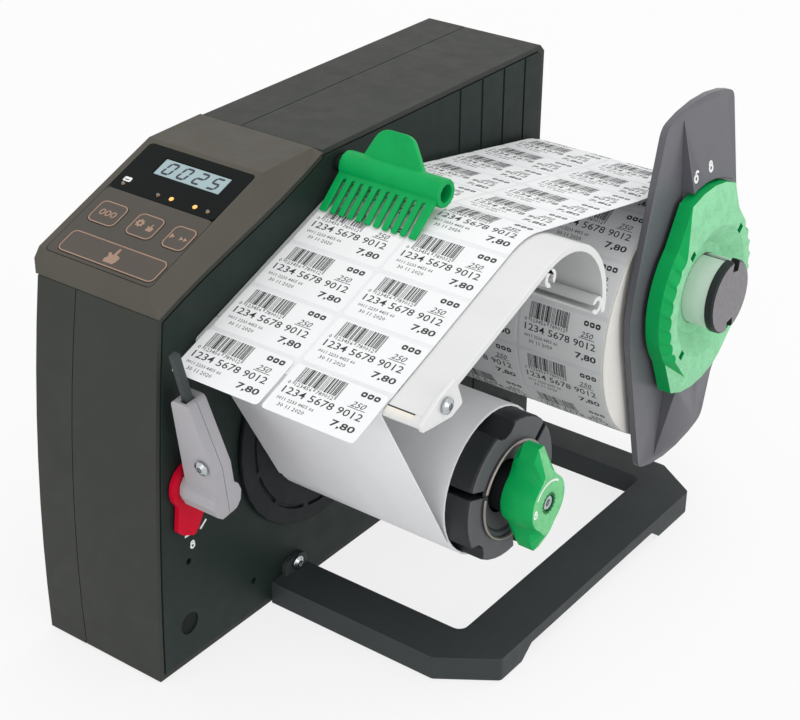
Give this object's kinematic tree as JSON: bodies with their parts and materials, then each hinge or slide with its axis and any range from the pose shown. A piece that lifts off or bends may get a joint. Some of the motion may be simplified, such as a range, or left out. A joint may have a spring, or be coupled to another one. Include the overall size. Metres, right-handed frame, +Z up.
{
  "type": "label dispenser machine",
  "caption": "Desk machine that unwinds label tape, peels labels at an edge, and winds up the empty liner.",
  "frame": {"origin": "middle of the footprint of the whole machine, on the surface that it stands on", "axes": "+X from the housing to the free ends of the shafts, +Y from the front to the back, +Z up"},
  "size_m": [0.217, 0.3588, 0.2443],
  "materials": {
    "plate_paint": "fine satin dark green-black paint",
    "cover_paint": "satin brown-grey paint",
    "panel_plastic": "fine-grained moulding",
    "foil": "brushed keypad foil",
    "key_foil": "keypad foil over a key",
    "window": "clear gloss over black",
    "lcd": "grey display glass",
    "light_guide": "amber light guide",
    "green": "satin green moulding",
    "red": "satin red moulding",
    "grey": "light grey moulding",
    "dark": "dark grey moulding",
    "flange": "satin grey moulding",
    "rubber": "black rubber",
    "black_plastic": "black moulding",
    "paper": "white label paper",
    "liner": "smooth liner paper",
    "cardboard": "wound board",
    "aluminium": "light anodised",
    "steel": "bright zinc",
    "board": "green circuit board"
  },
  "bodies": {
    "machine": {"side_plate": "plate_paint", "housing_left_cover": "cover_paint", "housing_main_cover": "cover_paint", "control_panel": "panel_plastic", "keypad_foil": "foil", "display_window": "window", "lcd_glass": "lcd", "light_guide": "light_guide", "control_board": "board", "main_board": "board", "mains_inlet": "black_plastic", "inner_frame": "steel", "motor": "aluminium", "drive_belt": "rubber", "rewinder_bearing": "steel", "foot_frame": "dark", "foot_screw_front": "steel", "foot_screw_rear": "steel", "rubber_foot_1": "rubber", "rubber_foot_2": "rubber", "rubber_foot_3": "rubber", "rubber_foot_4": "rubber", "table_profile": "aluminium", "peel_edge": "aluminium", "edge_bracket": "aluminium", "bracket_screw": "steel", "label_web": "paper", "label_1": "paper", "label_2": "paper", "liner_return": "liner", "supply_shaft": "aluminium", "shaft_end_cap": "dark", "comb_rod": "steel", "sensor_pivot_bolt": "steel"},
    "rewinder": {"rewinder_spindle": "steel", "rewinder_core": "dark", "hub_segment_1": "dark", "hub_segment_2": "dark", "hub_segment_3": "dark", "retaining_spring": "steel", "wound_liner": "liner", "rewinder_pulley": "dark"},
    "knob": {"clamp_knob": "green", "knob_screw": "steel"},
    "motor_rotor": {"motor_pulley": "aluminium"},
    "roll": {"roll_core": "cardboard", "supply_roll": "paper"},
    "flange": {"flange_paddle": "flange"},
    "ring": {"clamp_ring": "green"},
    "comb": {"comb": "green"},
    "sensor_arm": {"sensor_arm_front": "grey", "sensor_arm_rear": "grey", "sensor_arm_screw": "steel"},
    "feeler": {"sensor_feeler": "black_plastic"},
    "clamp_lever": {"sensor_clamp_lever": "red"},
    "switch": {"power_switch": "red"},
    "clear_key": {"key_clear": "key_foil"},
    "mode_key": {"key_mode": "key_foil"},
    "jog_key": {"key_jog": "key_foil"},
    "start_key": {"key_start": "key_foil"}
  },
  "joints": [
    {"name": "rewinder_spin", "type": "hinge", "parent": "machine", "child": "rewinder", "pos_m": [0.0285, -0.05879, 0.0975], "axis": [1, 0, 0], "continuous": true},
    {"name": "motor_spin", "type": "hinge", "parent": "machine", "child": "motor_rotor", "pos_m": [-0.0565, 0.02771, 0.072], "axis": [1, 0, 0], "continuous": true},
    {"name": "knob_turn", "type": "hinge", "parent": "rewinder", "child": "knob", "pos_m": [0.0935, -0.05879, 0.0975], "axis": [1, 0, 0], "range_deg": [0, 90]},
    {"name": "roll_spin", "type": "hinge", "parent": "machine", "child": "roll", "pos_m": [0.0235, 0.11041, 0.1179], "axis": [1, 0, 0], "continuous": true},
    {"name": "flange_slide", "type": "slide", "parent": "machine", "child": "flange", "axis": [1, 0, 0], "range_m": [0, 0.012]},
    {"name": "ring_turn", "type": "hinge", "parent": "flange", "child": "ring", "pos_m": [0.0885, 0.11041, 0.1366], "axis": [1, 0, 0], "range_deg": [0, 30]},
    {"name": "comb_lift", "type": "hinge", "parent": "machine", "child": "comb", "pos_m": [0.0015, -0.03729, 0.225], "axis": [-1, 0, 0], "range_deg": [0, 50]},
    {"name": "sensor_swing", "type": "hinge", "parent": "machine", "child": "sensor_arm", "pos_m": [-0.0155, -0.15429, 0.104], "axis": [1, 0, 0], "range_deg": [0, 25]},
    {"name": "feeler_tilt", "type": "hinge", "parent": "sensor_arm", "child": "feeler", "pos_m": [-0.0189, -0.16169, 0.152], "axis": [1, 0, 0], "range_deg": [0, 8], "stiffness_Nm_per_rad": 0.02},
    {"name": "lever_turn", "type": "hinge", "parent": "machine", "child": "clamp_lever", "pos_m": [-0.0294, -0.15429, 0.104], "axis": [1, 0, 0], "range_deg": [0, 35]},
    {"name": "switch_rock", "type": "hinge", "parent": "machine", "child": "switch", "pos_m": [-0.063, 0.14421, 0.072], "axis": [1, 0, 0], "range_deg": [-12, 0]},
    {"name": "clear_key_press", "type": "slide", "parent": "machine", "child": "clear_key", "axis": [0, 0.3672, -0.9302], "range_m": [0, 0.0004], "stiffness_N_per_m": 500},
    {"name": "mode_key_press", "type": "slide", "parent": "machine", "child": "mode_key", "axis": [0, 0.3672, -0.9302], "range_m": [0, 0.0004], "stiffness_N_per_m": 500},
    {"name": "jog_key_press", "type": "slide", "parent": "machine", "child": "jog_key", "axis": [0, 0.3672, -0.9302], "range_m": [0, 0.0004], "stiffness_N_per_m": 500},
    {"name": "start_key_press", "type": "slide", "parent": "machine", "child": "start_key", "axis": [0, 0.3672, -0.9302], "range_m": [0, 0.0004], "stiffness_N_per_m": 500}
  ],
  "couplings": [
    {"joint": "motor_spin", "follows": "rewinder_spin", "ratio": 3}
  ]
}
